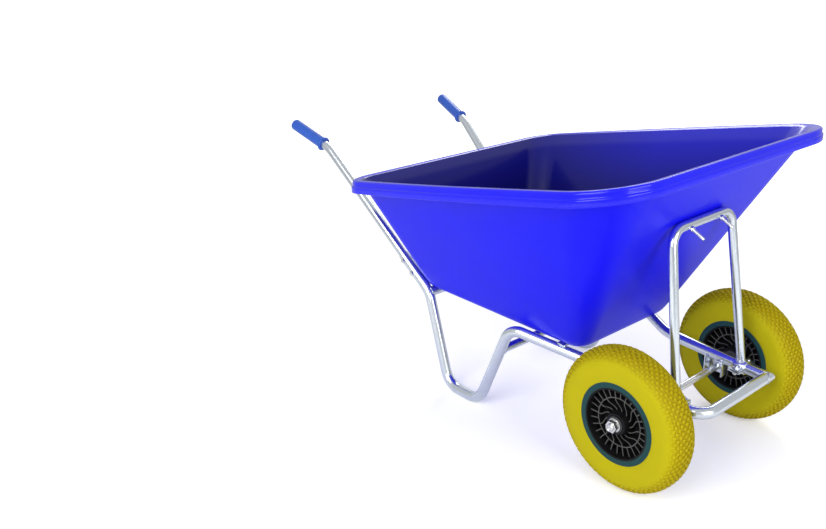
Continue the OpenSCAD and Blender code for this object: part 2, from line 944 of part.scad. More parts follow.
// Bolts through the tray floor, into the flat bar and the rear crossbar
floor_inside = tray_t + washer_t + 2 * seat_gap;
bar_under = bar_t + 2 * seat_gap;
cross_under = tube_d + 3 * seat_gap;

module at_floor_bolts() {
    for (y = [-bar_bolt_y, bar_bolt_y])
        on_floor(bar_point, y)
            children(0);
    for (y = [-cross_bolt_y, cross_bolt_y])
        on_floor(cross_point, y)
            children($children - 1);
}

module tray_floor_bolts() {
    color("silver")
        placed()
            at_floor_bolts() {
                translate([0, 0, floor_inside])
                    dome_bolt(floor_inside + bar_under);
                translate([0, 0, floor_inside])
                    dome_bolt(floor_inside + cross_under);
            }
}

module tray_floor_washers() {
    color("silver")
        placed()
            at_floor_bolts()
                translate([0, 0, tray_t + seat_gap])
                    ring(nut_bore, washer_d, washer_t);
}

module tray_floor_nuts() {
    color("silver")
        placed()
            at_floor_bolts() {
                translate([0, 0, -bar_under - nut_h])
                    hex_nut(nut_af, nut_bore, nut_h);
                translate([0, 0, -cross_under - nut_h])
                    hex_nut(nut_af, nut_bore, nut_h);
            }
}

// Tray: rounded plan outlines lofted from the floor up to the rolled rim lip.
// An outline is [rear x, front x, rear half width, front half width,
// rear z, front z, rear corner, front corner, swell of the sides].
corner_steps = 7;
side_steps = 6;
end_steps = 3;
round_steps = 4;
wall_shares = [0.4, 0.75];

floor_outline = [
    -floor_rear_back, -floor_front_back, floor_rear_y, floor_front_y,
    floor_z(-floor_rear_back), floor_z(-floor_front_back), floor_rear_corner, floor_front_corner, 0
];
rim_outline = [
    -rim_rear_back + lip_w, rim_front_x - lip_w, rim_rear_y - lip_w, rim_front_y - lip_w,
    rim_z(-rim_rear_back + lip_w), rim_z(rim_front_x - lip_w),
    rim_rear_corner - lip_w, rim_front_corner - lip_w, rim_swell
];
wall_height = (rim_outline[4] + rim_outline[5] - floor_outline[4] - floor_outline[5]) / 2;
skin = tray_t / wall_way[2];

function grown(o, u, w, slope) = o + [-u, u, u, u, w - slope * u, w + slope * u, u, u, 0];
function wall(t) = floor_outline + t * (rim_outline - floor_outline);
function curved(a, b, c, s) = (1 - s) * (1 - s) * a + 2 * s * (1 - s) * b + s * s * c;
function floor_bend(s) = curved(
    grown(floor_outline, -floor_round, 0, floor_slope), floor_outline, wall(floor_round / wall_height), s
);

// Rim lip, from the outside of the wall over the top to the inside
lip_section = [
    [lip_w - lip_t, -lip_t], [lip_w - lip_t, -lip_h], [lip_w, -lip_h], [lip_w, -lip_h / 2],
    [lip_w - lip_step, -lip_h / 2 + lip_step / 2], [lip_w - lip_step, -lip_t],
    [lip_w - lip_step - lip_t, 0], [0, 0]
];

outside = concat(
    [for (i = [0 : round_steps]) floor_bend(i / round_steps)],
    [for (t = wall_shares) wall(t)],
    [wall(1 - lip_t / wall_height)],
    [for (p = lip_section) grown(rim_outline, p[0], p[1], rim_slope)]
);
inside = concat(
    [grown(wall(1 - tray_t / wall_height), -skin, 0, rim_slope)],
    [for (t = reversed(wall_shares)) grown(wall(t), -skin, 0, 0)],
    [for (i = [round_steps : -1 : 0]) let(s = i / round_steps)
        grown(floor_bend(s), -skin * s, tray_t * (1 - s * s), 0)]
);
outlines = concat(outside, inside);

// Points of one outline, once round from the rear right corner
function arc(x, y, r, from) = [
    for (i = [0 : corner_steps]) let(a = from + 90 * i / corner_steps) [x + r * cos(a), y + r * sin(a)]
];
function between(a, b, steps, out) = [
    for (i = [1 : steps - 1]) let(s = i / steps) a + s * (b - a) + 4 * s * (1 - s) * out
];
function plan(o) = let(
        rear_right = arc(o[0] + o[6], -o[2] + o[6], o[6], 180),
        front_right = arc(o[1] - o[7], -o[3] + o[7], o[7], 270),
        front_left = arc(o[1] - o[7], o[3] - o[7], o[7], 0),
        rear_left = arc(o[0] + o[6], o[2] - o[6], o[6], 90),
        last = corner_steps
    ) concat(
        rear_right, between(rear_right[last], front_right[0], side_steps, [0, -o[8]]),
        front_right, between(front_right[last], front_left[0], end_steps, [0, 0]),
        front_left, between(front_left[last], rear_left[0], side_steps, [0, o[8]]),
        rear_left, between(rear_left[last], rear_right[0], end_steps, [0, 0])
    );
function raised(o) = [
    for (p = plan(o)) [p[0], p[1], o[4] + (o[5] - o[4]) * (p[0] - o[0]) / (o[1] - o[0])]
];

function middle(o) = [(o[0] + o[1]) / 2, 0, (o[4] + o[5]) / 2];

// The tray is moulded in one piece. It is drawn as a floor, walls and corners that meet face to face.
// These are the points of an outline where they meet.
right_start = corner_steps;
right_end = right_start + side_steps;
front_start = right_end + corner_steps;
front_end = front_start + end_steps;
left_start = front_end + corner_steps;
left_end = left_start + side_steps;
rear_start = left_end + corner_steps;
rear_end = rear_start + end_steps;

// Triangles that close a cut through the wall and the lip, by the numbers of the outlines
inside_top = len(outside);
wall_top = inside_top - len(lip_section) - 1;
last_outline = len(outlines) - 1;
wall_cut = [
    for (k = [0 : wall_top - 1])
        each [[k, k + 1, last_outline - k - 1], [k, last_outline - k - 1, last_outline - k]]
];
lip_cut = [
    [2, 3, 4], [2, 4, 5], [1, 2, 5], [1, 5, 6], [1, 6, 7], [0, 1, 7], [0, 7, 8], [0, 8, 9]
];
section_cut = concat(wall_cut, [for (t = lip_cut) t + wall_top * [1, 1, 1]]);

module tray_panel(start, end) {
    points = [for (o = outlines) let(ring = raised(o)) each [for (i = [start : end]) ring[i % len(ring)]]];
    n = end - start + 1;
    faces = concat(
        [for (k = [0 : last_outline], i = [0 : n - 2]) let(up = (k + 1) % len(outlines))
            each [
                [k * n + i, up * n + i, up * n + i + 1],
                [k * n + i, up * n + i + 1, k * n + i + 1]
            ]],
        [for (t = section_cut) [t[2] * n, t[1] * n, t[0] * n]],
        [for (t = section_cut) t * n + (n - 1) * [1, 1, 1]]
    );
    color("blue")
        polyhedron(points, faces);
}

module tray_floor_panel() {
    under = raised(outlines[0]);
    over = raised(outlines[last_outline]);
    n = len(under);
    points = concat(under, over, [middle(outlines[0]), middle(outlines[last_outline])]);
    faces = [
        for (i = [0 : n - 1]) let(j = (i + 1) % n)
            each [[i, j, 2 * n], [n + j, n + i, 2 * n + 1], [j, i, n + i], [j, n + i, n + j]]
    ];
    color("blue")
        polyhedron(points, faces);
}

module tray_floor() {
    placed()
        difference() {
            tray_floor_panel();
            at_floor_bolts()
                translate([0, 0, -overrun])
                    cylinder(h = tray_t + 2 * overrun, d = bolt_hole);
        }
}

module tray_wall_front() {
    placed()
        difference() {
            tray_panel(front_start, front_end);
            hoop_bolt_holes(bolt_hole);
        }
}

module tray_wall_right() placed() tray_panel(right_start, right_end);
module tray_wall_left() placed() tray_panel(left_start, left_end);
module tray_wall_rear() placed() tray_panel(rear_start, rear_end);
module tray_corner_rear_right() placed() tray_panel(0, right_start);
module tray_corner_front_right() placed() tray_panel(right_end, front_start);
module tray_corner_front_left() placed() tray_panel(front_end, left_start);
module tray_corner_rear_left() placed() tray_panel(left_end, rear_start);

tray_floor();
tray_wall_front();
tray_wall_right();
tray_wall_left();
tray_wall_rear();
tray_corner_front_right();
tray_corner_front_left();
tray_corner_rear_right();
tray_corner_rear_left();
chassis_tube_right();
chassis_tube_left();
leg_brace();
rear_crossbar();
tray_support_bar();
axle_bracket_right();
axle_bracket_left();
front_hoop();
hoop_saddle_right();
hoop_saddle_left();
hoop_strap_right();
hoop_strap_left();
hoop_clamp_bolts();
hoop_clamp_nuts();
hoop_tray_bolts();
hoop_tray_washers();
hoop_tray_nuts();
handle_right();
handle_left();
grip_right();
grip_left();
handle_bolts();
handle_nuts();
tray_floor_bolts();
tray_floor_washers();
tray_floor_nuts();
axle();
axle_spacer_right();
axle_spacer_left();
axle_washers();
axle_nuts();
tyre_right();
tyre_left();
rim_right();
rim_left();
hub_bushes_right();
hub_bushes_left();
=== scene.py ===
"""Two wheel wheelbarrow: its looks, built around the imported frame."""

import json
import math

import bmesh
import bpy
from mathutils import Matrix, Vector


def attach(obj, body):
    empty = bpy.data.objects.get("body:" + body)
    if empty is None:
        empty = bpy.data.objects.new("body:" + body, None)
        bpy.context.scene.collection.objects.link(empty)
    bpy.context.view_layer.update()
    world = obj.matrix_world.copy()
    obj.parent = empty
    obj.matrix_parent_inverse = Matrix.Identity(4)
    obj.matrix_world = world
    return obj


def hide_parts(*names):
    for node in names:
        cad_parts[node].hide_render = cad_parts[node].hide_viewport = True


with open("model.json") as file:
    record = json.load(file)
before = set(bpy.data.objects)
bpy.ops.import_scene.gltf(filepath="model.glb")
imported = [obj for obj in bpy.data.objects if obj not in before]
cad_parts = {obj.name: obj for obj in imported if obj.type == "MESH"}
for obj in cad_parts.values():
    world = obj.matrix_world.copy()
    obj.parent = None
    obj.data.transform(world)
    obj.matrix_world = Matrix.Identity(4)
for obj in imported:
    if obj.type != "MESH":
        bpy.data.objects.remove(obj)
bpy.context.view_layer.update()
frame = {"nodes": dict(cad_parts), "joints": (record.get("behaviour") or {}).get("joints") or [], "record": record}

# Sizes, in millimetres. Places are measured from the ground under the axle.
MM = 0.001
FULL_TURN = 2 * math.pi
axle_x, wheel_y, axle_z = (abs(v) / MM for v in frame["joints"][0]["pos_m"])
seat_gap = 0.1

# Wheels
tyre_r = 200
tyre_w = 92
rim_r = 114
rim_w = 84
bead_h = 12
flange_t = 6
wide_share = 0.42
crown_power = 0.88
crown_steps = 9
side_steps = 6
tread_pitches = 66
# Rows of blocks on each side of the crown's middle, in bands: first row, end row, height
tread_bands = [[0, 3, 3.8], [3, 5, 3.2], [5, 6, 2.4], [6, 7, 1.4]]
block_inset = 0.8

# Tray: the rim's ends are [x, half width, z, corner radius], and the floor's are
# [x, half width, corner radius]
rim_front = [116, 498, 880, 180]
rim_rear = [-984, 452, 662, 106]
rim_rise = (rim_front[2] - rim_rear[2]) / (rim_front[0] - rim_rear[0])
rim_swell = 10
floor_front = [-220, 202, 48]
floor_rear = [-840, 251, 74]
floor_round = 28
tray_t = 5
tray_edge = 2
lip_w = 25
lip_h = 38
lip_t = 4.5
lip_step = 4
lip_roll = 1

# Chassis and hoop, with points on the right side
tube_d = 32
brace_d = 25
hoop_d = 25
front_corner = [155, -155, 225]
knee = [-180, -155, 243]
leg_top = [-441, -250, 299]
foot_front = [-557, -264, 16]
arm_top = [-795, -255, 302]
bar_back = 288
bar_t = 5
brace_drop = 83
hoop_foot_x = 75
hoop_top_y = 131
hoop_rest_z = 689
clamp_t = 4
bead_w = 2.4
hoop_bead_w = 2.6
bead_ripple = [0.78, 1.0]
seam_steps = 56

# Screw threads: a ridge is drawn by shares of the pitch, as [out, along]
bolt_r = 4
bolt_tail = 38
nut_h = 6.5
axle_r = 10
axle_tail = 4
axle_nut_end = 64.4
thread_pitch = 1.5
thread_lead = 1
thread_core = 0.8
thread_ridge = [[0, 0.1], [0.3, 0.4], [0.3, 0.6], [0, 0.9]]
thread_steps = 28

# Grips: the hand stop and the neck behind it are [out from their radius, along from the open end]
grip_bend = [-1244, -300, 691]
grip_end = [-1404, -325, 748]
grip_len = 148
grip_r = 18.5
grip_stop_r = 23.5
grip_stop = [[-2, 0], [-0.6, 0.6], [0, 2], [0, 4], [-0.6, 5.4], [-2, 6]]
grip_neck = [[1.6, 6.4], [0.4, 7.6], [0, 9.5]]
grip_rings = [60, 128]
grip_bore = 14.5
grip_bore_edge = 0.6
grip_dome = 8
grip_dome_steps = 6
grip_end_t = 6
grip_steps = 64

# Distances within which points are taken for one, in metres
same_point = 1e-6
same_node_point = 2e-6
same_turned_point = 1e-5
same_corner = 1e-4
# Neighbouring faces of a frame piece that turn by less than this, in degrees, are one face
same_face = 1


# Modelling helpers: every piece is shaped in edit mode and left at the origin
def at(x, y, z):
    """A place measured from the ground under the axle, in the frame's metres."""
    return Vector(((axle_x + x) * MM, y * MM, z * MM))


def along(a, b):
    return (at(*b) - at(*a)).normalized()


def deselect():
    if bpy.context.object and bpy.context.object.mode != "OBJECT":
        bpy.ops.object.mode_set(mode="OBJECT")
    bpy.ops.object.select_all(action="DESELECT")


def choose(obj):
    deselect()
    obj.select_set(True)
    bpy.context.view_layer.objects.active = obj


def edit(obj):
    """Opens a piece in edit mode, with all of it selected."""
    choose(obj)
    bpy.ops.object.mode_set(mode="EDIT")
    bpy.ops.mesh.select_mode(type="VERT")
    bpy.ops.mesh.select_all(action="SELECT")


def pick(obj, parts, test):
    """Selects the vertices, edges or faces that pass a test."""
    bpy.ops.mesh.select_mode(type={"verts": "VERT", "edges": "EDGE", "faces": "FACE"}[parts])
    bpy.ops.mesh.select_all(action="DESELECT")
    mesh = bmesh.from_edit_mesh(obj.data)
    mesh.verts.index_update()
    for part in getattr(mesh, parts):
        if test(part):
            part.select_set(True)
    bmesh.update_edit_mesh(obj.data)


def single_point(name, place):
    """A piece that starts as one vertex, ready to be drawn out."""
    deselect()
    bpy.ops.mesh.primitive_plane_add(size=1)
    obj = bpy.context.object
    obj.name = name
    edit(obj)
    bpy.ops.mesh.merge(type="CENTER")
    bpy.ops.transform.translate(value=place)
    return obj


def drawn(name, points):
    """A line through the points, drawn by extruding one vertex."""
    obj = single_point(name, points[0])
    for a, b in zip(points, points[1:]):
        bpy.ops.mesh.extrude_region_move(TRANSFORM_OT_translate={"value": b - a})
    return obj


def tidy_mesh(obj, merge=same_point):
    edit(obj)
    bpy.ops.mesh.remove_doubles(threshold=merge)
    bpy.ops.mesh.normals_make_consistent(inside=False)
    bpy.ops.object.mode_set(mode="OBJECT")


def spun(obj, centre, axis, steps):
    """Turns a drawn line once about an axis."""
    bpy.ops.mesh.select_all(action="SELECT")
    bpy.ops.mesh.spin(steps=steps, angle=FULL_TURN, center=centre, axis=axis)
    tidy_mesh(obj, same_turned_point)


def turned(name, profile, centre, axis, steps):
    """A profile of (radius, height) points in millimetres, turned about an axis."""
    upright = Vector((0, 0, 1))
    side = axis.cross(upright).normalized()
    points = [centre + axis * (h * MM) + side * (r * MM) for r, h in profile]
    obj = drawn(name, points)
    spun(obj, centre, axis, steps)
    edit(obj)
    bpy.ops.mesh.delete_loose()
    bpy.ops.object.mode_set(mode="OBJECT")
    return obj


def copied(obj, name, move=None):
    """A copy of a piece with its own mesh: moved, or else mirrored to the other side."""
    choose(obj)
    bpy.ops.object.duplicate()
    twin = bpy.context.object
    twin.name = name
    edit(twin)
    if move:
        bpy.ops.transform.translate(value=move)
    else:
        bpy.ops.transform.resize(value=(1, -1, 1), center_override=(0, 0, 0))
    tidy_mesh(twin)
    return twin


def mark(obj, name, test):
    """Writes an attribute of the piece in edit mode, 1 where a test holds, for a finish to read."""
    mesh = bmesh.from_edit_mesh(obj.data)
    mesh.verts.index_update()
    layer = mesh.verts.layers.float.get(name) or mesh.verts.layers.float.new(name)
    for vert in mesh.verts:
        if test(vert):
            vert[layer] = 1
    bmesh.update_edit_mesh(obj.data)
    bpy.ops.object.mode_set(mode="OBJECT")


def bevelled(obj, width, segments, degrees):
    """Rounds the edges that turn by more than an angle."""
    choose(obj)
    bpy.ops.object.modifier_add(type="BEVEL")
    made = obj.modifiers[-1]
    made.width = width * MM
    made.segments = segments
    made.limit_method = "ANGLE"
    made.angle_limit = math.radians(degrees)
    bpy.ops.object.modifier_apply(modifier=made.name)


def smooth(obj, degrees):
    choose(obj)
    bpy.ops.object.shade_smooth_by_angle(angle=math.radians(degrees))


def soft_copy(node, width):
    """A copy of a frame piece with its edges broken."""
    deselect()
    source = frame["nodes"][node]
    obj = bpy.data.objects.new(node + "_look", source.data.copy())
    bpy.context.scene.collection.objects.link(obj)
    obj.data.materials.clear()
    edit(obj)
    bpy.ops.mesh.customdata_custom_splitnormals_clear()
    bpy.ops.mesh.remove_doubles(threshold=same_node_point)
    bpy.ops.mesh.dissolve_limited(angle_limit=math.radians(same_face))
    bpy.ops.object.mode_set(mode="OBJECT")
    bevelled(obj, width, segments=2, degrees=35)
    smooth(obj, degrees=35)
    return obj


# Materials: a finish wraps its node tree, and sums and products of wires add Math nodes
class Wire:
    """An output socket that takes part in arithmetic."""

    def __init__(self, wiring, socket):
        self.wiring = wiring
        self.socket = socket

    def math(self, operation, first, second):
        return self.wiring.node("ShaderNodeMath", {"operation": operation}, {0: first, 1: second})

    def __add__(self, other):
        return self.math("ADD", self, other)

    def __radd__(self, other):
        return self.math("ADD", other, self)

    def __sub__(self, other):
        return self.math("SUBTRACT", self, other)

    def __rsub__(self, other):
        return self.math("SUBTRACT", other, self)

    def __mul__(self, other):
        return self.math("MULTIPLY", self, other)

    def __rmul__(self, other):
        return self.math("MULTIPLY", other, self)

    def __pow__(self, other):
        return self.math("POWER", self, other)

    def __abs__(self):
        return self.math("ABSOLUTE", self, 0)

    def __gt__(self, other):
        return self.math("GREATER_THAN", self, other)

    def __lt__(self, other):
        return self.math("LESS_THAN", self, other)


class Wiring:
    """A node tree that is being wired up."""

    def __init__(self, tree):
        self.tree = tree

    def node(self, kind, settings, sockets, output=0):
        """Adds a node: its type, its settings, then the values or links of its sockets."""
        made = self.tree.nodes.new(kind)
        for key, value in settings.items():
            setattr(made, key, value)
        for key, value in sockets.items():
            if isinstance(value, Wire):
                self.tree.links.new(value.socket, made.inputs[key])
            else:
                made.inputs[key].default_value = value
        return Wire(self, made.outputs[output])

    def place(self):
        return self.node("ShaderNodeTexCoord", {}, {}, "Object")

    def axis(self, name):
        return self.node("ShaderNodeSeparateXYZ", {}, {0: self.place()}, name)

    def marked(self, name):
        """An attribute that mark wrote."""
        return self.node("ShaderNodeAttribute", {"attribute_name": name}, {}, "Fac")

    def ray(self, kind):
        return self.node("ShaderNodeLightPath", {}, {}, kind)

    def noise(self, scale, detail=3, roughness=0.5):
        return self.node(
            "ShaderNodeTexNoise", {},
            {"Vector": self.place(), "Scale": scale, "Detail": detail, "Roughness": roughness},
        )

    def cells(self, scale):
        cell = self.node(
            "ShaderNodeTexVoronoi", {}, {"Vector": self.place(), "Scale": scale}, "Color"
        )
        return self.node("ShaderNodeSeparateColor", {}, {0: cell})

    def ramp(self, wire, low, high, bottom=0, top=1):
        return self.node(
            "ShaderNodeMapRange", {"clamp": True},
            {"Value": wire, "From Min": low, "From Max": high, "To Min": bottom, "To Max": top},
        )

    def between(self, wire, limits, bottom=0, top=1):
        """A ramp between two limits in millimetres."""
        return self.ramp(wire, limits[0] * MM, limits[1] * MM, bottom, top)

    def spread(self, noise, bottom, top):
        """Carries the span that most of a noise lies in to another range."""
        return self.ramp(noise, *noise_span, bottom, top)

    def mix(self, amount, first, second):
        return self.node(
            "ShaderNodeMix", {"data_type": "RGBA"}, {0: amount, 6: first, 7: second}, 2
        )

    def bump(self, height, distance, strength):
        return self.node(
            "ShaderNodeBump", {},
            {"Height": height, "Distance": distance * MM, "Strength": strength},
        )


class Finish(Wiring):
    """A material around one Principled shader."""

    def __init__(self, name, **constants):
        self.material = bpy.data.materials.new(name)
        self.material.use_nodes = True
        super().__init__(self.material.node_tree)
        self.shader = self.tree.nodes["Principled BSDF"]
        for key, value in constants.items():
            self.shader.inputs[key.replace("_", " ")].default_value = value

    def feed(self, **wires):
        for key, wire in wires.items():
            self.tree.links.new(wire.socket, self.shader.inputs[key.replace("_", " ")])


def rgb(red, green, blue):
    return (red, green, blue, 1)


noise_span = [0.3, 0.7]
dull_span = [0.4, 0.7]
# Where the finishes change, in millimetres: below the rim, ahead of the axle, from the axle's line
# and from a wheel's middle plane
lip_gloss_depth = [30, 45]
shade_depth = [0, 250]
shade_x = [rim_rear[0], -450]
tread_start_r = [168, 192]
ring_r = [118, 135]
ring_waves = 1500
flange_start_r = [98.5, 99.5]
rib_r = [36, 93.5]
rib_top = [26.2, 26.8]


def tray_finish():
    """Blue plastic, glossy along the lip, with painted shade inside that darkens it towards the floor and the
    rear.
    """
    made = Finish("tray_blue", IOR=1.46, Specular_IOR_Level=0.1, Coat_Roughness=0.12)
    cloud = made.noise(scale=5)
    inside = made.marked("inside")
    ahead = made.axis("X") - axle_x * MM
    rim_z = (ahead - rim_front[0] * MM) * rim_rise + rim_front[2] * MM
    depth = rim_z - made.axis("Z")
    lip_gloss = made.between(depth, lip_gloss_depth, bottom=0.65, top=0)
    # Painted shade: the inside is darkened further below the rim and further towards the rear.
    painted_shade_down = made.between(depth, shade_depth)
    painted_shade_rear = made.between(ahead, shade_x, bottom=0.75, top=0)
    outer = made.mix(cloud, rgb(0.004, 0.004, 0.67), rgb(0.007, 0.007, 0.80))
    # The inside's colour is the tray's blue with painted shade, darkest low down and at the rear.
    painted_shade_inner = made.mix(painted_shade_down, rgb(0.016, 0.017, 0.58), rgb(0.0015, 0.0015, 0.10))
    painted_shade_inner = made.mix(painted_shade_rear, painted_shade_inner, rgb(0.001, 0.001, 0.05))
    made.feed(
        Base_Color=made.mix(inside, outer, painted_shade_inner),
        Roughness=0.29 + cloud * 0.06,
        Coat_Weight=inside * 0.35 + lip_gloss,
    )
    return made.material


def galvanised_finish():
    made = Finish("galvanised")
    spangle = made.cells(scale=120)
    dull = made.ramp(made.noise(scale=9), *dull_span)
    bright = made.mix(spangle, rgb(0.67, 0.73, 0.79), rgb(0.70, 0.75, 0.80))
    made.feed(
        Base_Color=made.mix(dull * 0.35, bright, rgb(0.56, 0.61, 0.67)),
        Metallic=0.97 - dull * 0.05,
        Roughness=0.2 + dull * 0.06,
    )
    return made.material


def zinc_finish():
    made = Finish("zinc")
    cloud = made.noise(scale=120, detail=4)
    grain = made.noise(scale=700, detail=2)
    made.feed(
        Base_Color=made.mix(cloud, rgb(0.62, 0.63, 0.64), rgb(0.82, 0.82, 0.81)),
        Metallic=0.9 + cloud * 0.1,
        Roughness=made.spread(cloud, 0.17, 0.26),
        Normal=made.bump(grain, distance=0.1, strength=0.3),
    )
    return made.material


def grip_finish():
    made = Finish("grip_blue")
    cloud = made.noise(scale=40, detail=4)
    grain = made.noise(scale=1600, detail=2)
    made.feed(
        Base_Color=made.mix(cloud, rgb(0.016, 0.075, 0.42), rgb(0.030, 0.12, 0.54)),
        Roughness=made.spread(cloud, 0.29, 0.38),
        Normal=made.bump(grain, distance=0.1, strength=0.3),
    )
    return made.material


def axle_distance(made):
    """Distance from the axle's line."""
    ahead = made.axis("X") - axle_x * MM
    above = made.axis("Z") - axle_z * MM
    return (ahead * ahead + above * above) ** 0.5


def plane_distance(made):
    """Distance from the middle plane of the nearer wheel."""
    return abs(abs(made.axis("Y")) - wheel_y * MM)


def tyre_finish():
    """Yellow rubber, ochre on the tread and darker between its blocks, with fine rings by the bead."""
    made = Finish("tyre_yellow", IOR=1.45, Specular_IOR_Level=0.12)
    radius = axle_distance(made)
    cloud = made.noise(scale=18, detail=4)
    grain = made.noise(scale=900)
    tread = made.between(radius, tread_start_r)
    valley = tread * (1 - made.marked("relief"))
    yellow = made.mix(cloud, rgb(0.40, 0.35, 0.003), rgb(0.46, 0.40, 0.004))
    ochre = made.mix(tread * 0.6, yellow, rgb(0.37, 0.275, 0.002))
    waves = made.node("ShaderNodeMath", {"operation": "SINE"}, {0: radius * ring_waves})
    rings = waves * made.between(radius, ring_r, bottom=1, top=0)
    made.feed(
        Base_Color=made.mix(valley * 0.45, ochre, rgb(0.25, 0.18, 0.003)),
        Roughness=made.spread(cloud, 0.55, 0.72),
        Normal=made.bump(grain + rings * 2, distance=0.25, strength=0.5),
    )
    return made.material


def rim_finish():
    """Black plastic with lighter grey rib tops and a teal flange."""
    made = Finish("rim_black", IOR=1.47, Specular_IOR_Level=0.14)
    radius = axle_distance(made)
    cloud = made.noise(scale=90, detail=4)
    grain = made.noise(scale=800, detail=2)
    flange = made.between(radius, flange_start_r)
    ribbed = (radius > rib_r[0] * MM) * (radius < rib_r[1] * MM)
    # The tops of the ribs are coloured a lighter grey.
    grey_rib_tops = made.between(plane_distance(made), rib_top) * ribbed
    black = made.mix(cloud, rgb(0.003, 0.003, 0.0035), rgb(0.009, 0.009, 0.0095))
    disc = made.mix(grey_rib_tops, black, rgb(0.075, 0.075, 0.072))
    teal = made.mix(cloud, rgb(0.008, 0.040, 0.044), rgb(0.014, 0.062, 0.066))
    made.feed(
        Base_Color=made.mix(flange, disc, teal),
        Roughness=made.spread(cloud, 0.34, 0.5),
        Normal=made.bump(grain, distance=0.15, strength=0.4),
    )
    return made.material


def bush_finish():
    made = Finish("bush_grey")
    cloud = made.noise(scale=200)
    made.feed(
        Base_Color=made.mix(cloud, rgb(0.02, 0.02, 0.022), rgb(0.05, 0.05, 0.052)),
        Roughness=made.spread(cloud, 0.4, 0.6),
    )
    return made.material


def weld_finish():
    made = Finish("weld_bead")
    cloud = made.noise(scale=260, detail=5, roughness=0.65)
    made.feed(
        Base_Color=made.mix(cloud, rgb(0.28, 0.29, 0.31), rgb(0.62, 0.65, 0.68)),
        Metallic=0.75 + cloud * 0.2,
        Roughness=made.spread(cloud, 0.3, 0.55),
        Normal=made.bump(cloud, distance=1.2, strength=0.6),
    )
    return made.material


finishes = {
    "tray_blue": tray_finish(),
    "galvanised": galvanised_finish(),
    "zinc": zinc_finish(),
    "grip_blue": grip_finish(),
    "tyre_yellow": tyre_finish(),
    "rim_black": rim_finish(),
    "bush_grey": bush_finish(),
}
weld_bead = weld_finish()
slot_of = {part["node"]: part["material_slot"] for part in frame["record"]["subparts"]}
for node, obj in frame["nodes"].items():
    obj.data.materials.clear()
    obj.data.materials.append(finishes[slot_of[node]])


def fitted(obj, body, slot, replaced=(), material=None):
    """Finishes a piece: its material, the body that carries it and the nodes it stands for."""
    obj.data.materials.clear()
    obj.data.materials.append(material or finishes[slot])
    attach(obj, body)
    if replaced:
        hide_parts(*replaced)


# Tray: rounded outlines, one above the other, bridged into a shell with a rolled lip.
# An outline is [rear x, front x, rear half width, front half width, rear z, front z,
# rear corner, front corner, swell of the sides].
corner_cuts = 12
side_cuts = 6
round_steps = 5
wall_shares = [0.25, 0.5, 0.75]
long_share = 0.3


def rim_height(x):
    return rim_front[2] + rim_rise * (x - rim_front[0])


def support_height(x):
    """The plane that the tray's floor rests on, over the flat bar and the rear crossbar."""
    share = (bar_back + knee[0]) / (knee[0] - leg_top[0])
    rise = leg_top[2] - knee[2]
    run = math.dist(leg_top, knee)
    level = math.sqrt(1 - (rise / run) ** 2)
    bar_top = knee[2] + share * rise + tube_d / 2 / level + bar_t - seat_gap
    cross_top = arm_top[2] + tube_d / 2 + seat_gap
    slope = (bar_top - cross_top) / (-arm_top[0] - bar_back)
    return bar_top + slope * (x + bar_back)


floor_outline = [
    floor_rear[0], floor_front[0], floor_rear[1], floor_front[1],
    support_height(floor_rear[0]), support_height(floor_front[0]), floor_rear[2], floor_front[2], 0,
]
rim_outline = [
    rim_rear[0] + lip_w, rim_front[0] - lip_w, rim_rear[1] - lip_w, rim_front[1] - lip_w,
    rim_height(rim_rear[0] + lip_w), rim_height(rim_front[0] - lip_w),
    rim_rear[3] - lip_w, rim_front[3] - lip_w, rim_swell,
]
floor_slope = (floor_outline[5] - floor_outline[4]) / (floor_outline[1] - floor_outline[0])
rim_slope = (rim_outline[5] - rim_outline[4]) / (rim_outline[1] - rim_outline[0])
wall_height = (rim_outline[4] + rim_outline[5] - floor_outline[4] - floor_outline[5]) / 2
front_run = rim_outline[1] - floor_outline[1]
front_rise = rim_outline[5] - floor_outline[5]
skin = tray_t * math.hypot(front_run, front_rise) / front_rise


def blended(a, b, share):
    return [p + share * (q - p) for p, q in zip(a, b)]


def grown(outline, out, up, slope):
    change = [-out, out, out, out, up - slope * out, up + slope * out, out, out, 0]
    return [p + q for p, q in zip(outline, change)]


def wall(share):
    return blended(floor_outline, rim_outline, share)


def floor_bend(share):
    flat = grown(floor_outline, -floor_round, 0, floor_slope)
    first = blended(flat, floor_outline, share)
    second = blended(floor_outline, wall(floor_round / wall_height), share)
    return blended(first, second, share)


def tray_outlines():
    """The outlines up the outside and over the lip, and those down the inside."""
    step_w = lip_w - lip_step
    lip = [
        [lip_w - lip_t, -lip_t], [lip_w - lip_t, -lip_h], [lip_w, lip_roll - lip_h],
        [lip_w, -lip_h / 2], [step_w, -lip_h / 2 + lip_step / 2], [step_w, -lip_t],
        [step_w - lip_t, 0], [0, -lip_roll],
    ]
    shares = [i / round_steps for i in range(round_steps + 1)]
    outside = [floor_bend(s) for s in shares]
    outside += [wall(s) for s in wall_shares]
    outside.append(wall(1 - lip_t / wall_height))
    outside += [grown(rim_outline, out, up, rim_slope) for out, up in lip]
    inside = [grown(wall(1 - tray_t / wall_height), -skin, 0, rim_slope)]
    inside += [grown(wall(s), -skin, 0, 0) for s in reversed(wall_shares)]
    inside += [grown(floor_bend(s), -skin * s, tray_t * (1 - s * s), 0) for s in reversed(shares)]
    return outside, inside


